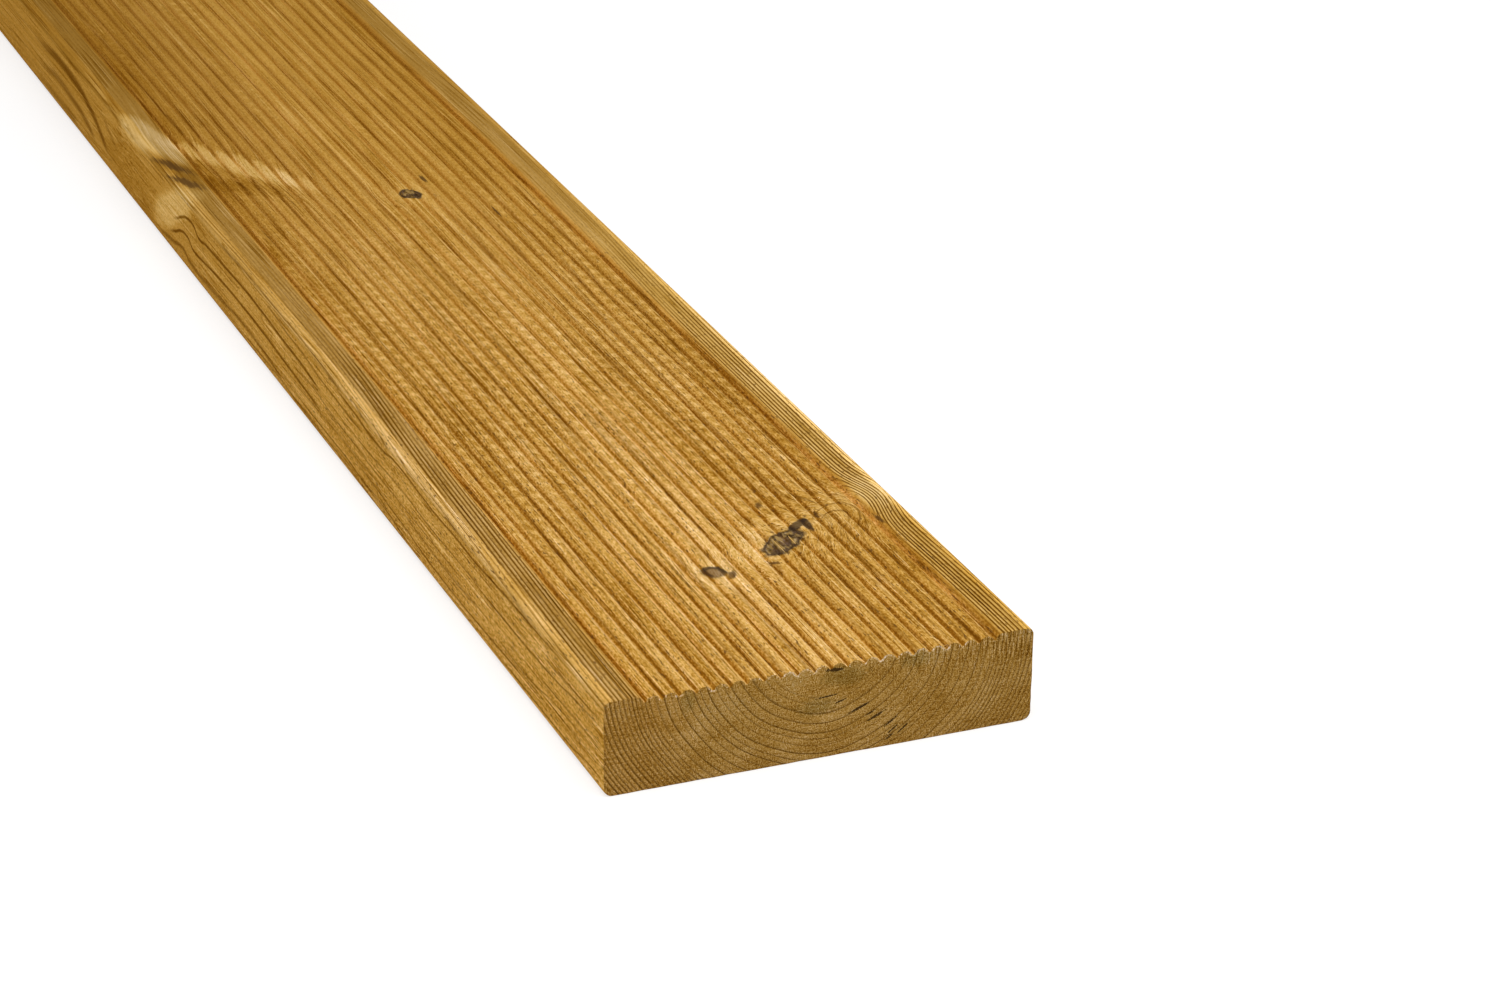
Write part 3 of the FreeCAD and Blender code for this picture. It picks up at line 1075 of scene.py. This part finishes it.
# The sawn ends: the same rings cut across, with pores, saw marks, checks along rings and stains
def sawnSoftwood():
    look = endWood
    shader = Shader(bpy.data.materials.new("sawnSoftwood"))
    place = shader.placeInMm()
    field = ringField(shader, place)
    y = field["y"]
    z = field["z"]
    pores = shader.noise(place, look["poreSize"], detail=1.0)
    grain = shader.noise(place, look["grainSize"], shift=2.0)
    clouds = shader.noise(place, look["cloudSize"], shift=4.0)
    sawn = shader.noise(place, look["sawMarkSize"], shift=6.0)
    rays = shader.noise(place, look["raySize"], detail=1.0, shift=8.0)

    # Latewood is thin, with soft shade before it, and clearer out from the pith and to the left
    clear = field["radius"].step(10, 24) * (y.step(-12, 4) * 0.20 + 0.80) * (clouds * 1.4 + 1.0)
    narrow = field["radius"].step(42, 50)
    fine = latewood(shader, field["rings"], 0.74 - narrow * 0.34, 0.92 - narrow * 0.12, 0.06)
    broad = latewood(shader, field["rings"], 0.10, 0.95, 0.05)
    tone = shader.blend((fine * 0.84 + broad * 0.24) * clear, look["earlywood"], look["latewood"])

    light = pores * look["pores"] + grain * look["grain"] + clouds * look["clouds"] + sawn * look["sawMarks"]
    light = light + rays * z.step(12, 26) * y.step(0, -45) * look["rays"] + look["plain"]
    tone = shader.deepen(tone, light - y.step(30, -10) * 0.07)
    tone = shader.tint(y.step(25, 55), tone, look["leftTint"])
    stain = (clouds + grain * 0.6).step(0.06, 0.22) * z.step(12, 25) * 0.6
    edge = grain * 1.5 + clouds
    for spot in look["stains"]:
        stain = stain.largest((shader.oval(place, spot) + edge).step(1.0, 0.4))
    tone = shader.tint(stain * 0.9, tone, look["stainTint"])
    tone = shader.deepen(tone, tornRim(y, z, grain * 2 + clouds * 3) * look["torn"] + 1)
    split = 0
    edge = grain * 1.2 + pores
    for check in look["checks"]:
        split = (shader.oval(place, check) + edge).step(1.0, 0.55) + split
    tone = shader.blend(split.smallest(1.0) * 0.9, tone, look["check"])
    height = grain * 0.20 + sawn * 0.15 + pores * 0.20 - fine * clear * 0.08 - split * 0.3
    return shader.finish(tone, grain * 0.2 + look["roughness"], height, {"Specular IOR Level": 0.0})


# Torn fibres are paler than the planed face and keep its grain
def rawFibre():
    shader = Shader(bpy.data.materials.new("rawFibre"))
    grain = shader.noise(shader.placeInMm(), (5, 0.4, 0.4), detail=1.0)
    tone = shader.deepen(tornFibres["colour"], grain + 1)
    return shader.finish(tone, grain * 0.2 + 0.7, grain * 0.1, {"Specular IOR Level": 0.0})


deckingBoard = makeBoard(board, planedSoftwood(), sawnSoftwood())
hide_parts("decking_board")
raisedFibres = makeFibres(tornFibres, board, rawFibre())
for piece in (deckingBoard, raisedFibres):
    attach(piece, "root")


studio = {
    "floorReach": 9.0,           # metres from the board to the floor's edge
    "floorColour": colour(0.75, 0.75, 0.75),
    "shadowShare": 0.45,         # how much of the floor that the camera sees is lit, the rest being white
    "floorWhite": 0.70,          # strength of that white
    "ambient": 0.60,             # strength of the even light on the object
    "lampPlace": (-0.98, 0.02, 0.68),
    "lampAim": (-0.88, 0.0, 0.0),
    "lampSize": 0.5,
    "lampPower": 2.0,            # watts
}


# White where the camera, a mirror or glass sees it, and the given light everywhere else
def seenBy(shader):
    rays = shader.outputs(shader.node("ShaderNodeLightPath"))
    named = {ray.socket.name: ray for ray in rays}
    return named["Is Camera Ray"].largest(named["Is Glossy Ray"]).largest(named["Is Transmission Ray"])


def makeFloor():
    reach = studio["floorReach"] / mm
    low = cadLow.z / mm
    square = np.array([(-1, -1), (1, -1), (1, 1), (-1, 1)]) * reach
    corners = np.concatenate([square, np.full((4, 1), low)], axis=1)
    shader = Shader(bpy.data.materials.new("paleFloor"))
    seen = seenBy(shader)
    lit = shader.node("ShaderNodeBsdfDiffuse", {}, {"Color": studio["floorColour"]})
    share = studio["shadowShare"]
    shadowed = shader.node("ShaderNodeBsdfDiffuse", {}, {"Color": colour(share, share, share)})
    sockets = {"Color": colour(1, 1, 1), "Strength": studio["floorWhite"]}
    white = shader.node("ShaderNodeEmission", {}, sockets)
    both = shader.node("ShaderNodeAddShader", {}, {0: shadowed, 1: white})
    shown = shader.node("ShaderNodeMixShader", {}, {0: seen, 1: lit, 2: both})
    shader.node("ShaderNodeOutputMaterial", {}, {"Surface": shown})
    floor = meshObject("floor", corners, [(0, 1, 2, 3)], [shader.owner])


def makeLight():
    world = bpy.data.worlds.new("studio")
    bpy.context.scene.world = world
    shader = Shader(world)
    seen = seenBy(shader)
    strength = seen * (1 - studio["ambient"]) + studio["ambient"]
    light = shader.node("ShaderNodeBackground", {}, {"Color": colour(1, 1, 1), "Strength": strength})
    shader.node("ShaderNodeOutputWorld", {}, {"Surface": light})

    lamp = bpy.data.lights.new("softKey", "AREA")
    lamp.shape = "DISK"
    lamp.size = studio["lampSize"]
    lamp.energy = studio["lampPower"]
    holder = bpy.data.objects.new("softKey", lamp)
    away = Vector(studio["lampPlace"]) - Vector(studio["lampAim"])
    turned = away.to_track_quat("Z", "Y").to_matrix().to_4x4()
    holder.matrix_world = Matrix.Translation(studio["lampPlace"]) @ turned
    bpy.context.scene.collection.objects.link(holder)


# Where the camera stands and looks, in metres, worked out from the board's own straight edges
camera = {
    "place": (-1.803447, 0.398715, 0.523996),
    "forward": (0.83945, -0.35028, -0.41548),
    "right": (-0.38042, -0.92475, 0.01102),
    "focalPixels": 4316.73,      # focal length in pixels of a picture imageWidth wide
    "sensor": 36.0,              # width in mm
}


def makeCamera():
    lens = bpy.data.cameras.new("camera")
    lens.sensor_width = camera["sensor"]
    lens.lens = camera["sensor"] * camera["focalPixels"] / imageWidth
    back = -Vector(camera["forward"]).normalized()
    right = Vector(camera["right"])
    right = (right - back * right.dot(back)).normalized()
    up = back.cross(right)
    turned = Matrix((right, up, back)).transposed().to_4x4()
    holder = bpy.data.objects.new("camera", lens)
    holder.matrix_world = Matrix.Translation(camera["place"]) @ turned
    bpy.context.scene.collection.objects.link(holder)
    bpy.context.scene.camera = holder


makeFloor()
makeLight()
makeCamera()
bpy.context.scene.view_settings.view_transform = "Standard"
print("floor, light and camera in place")
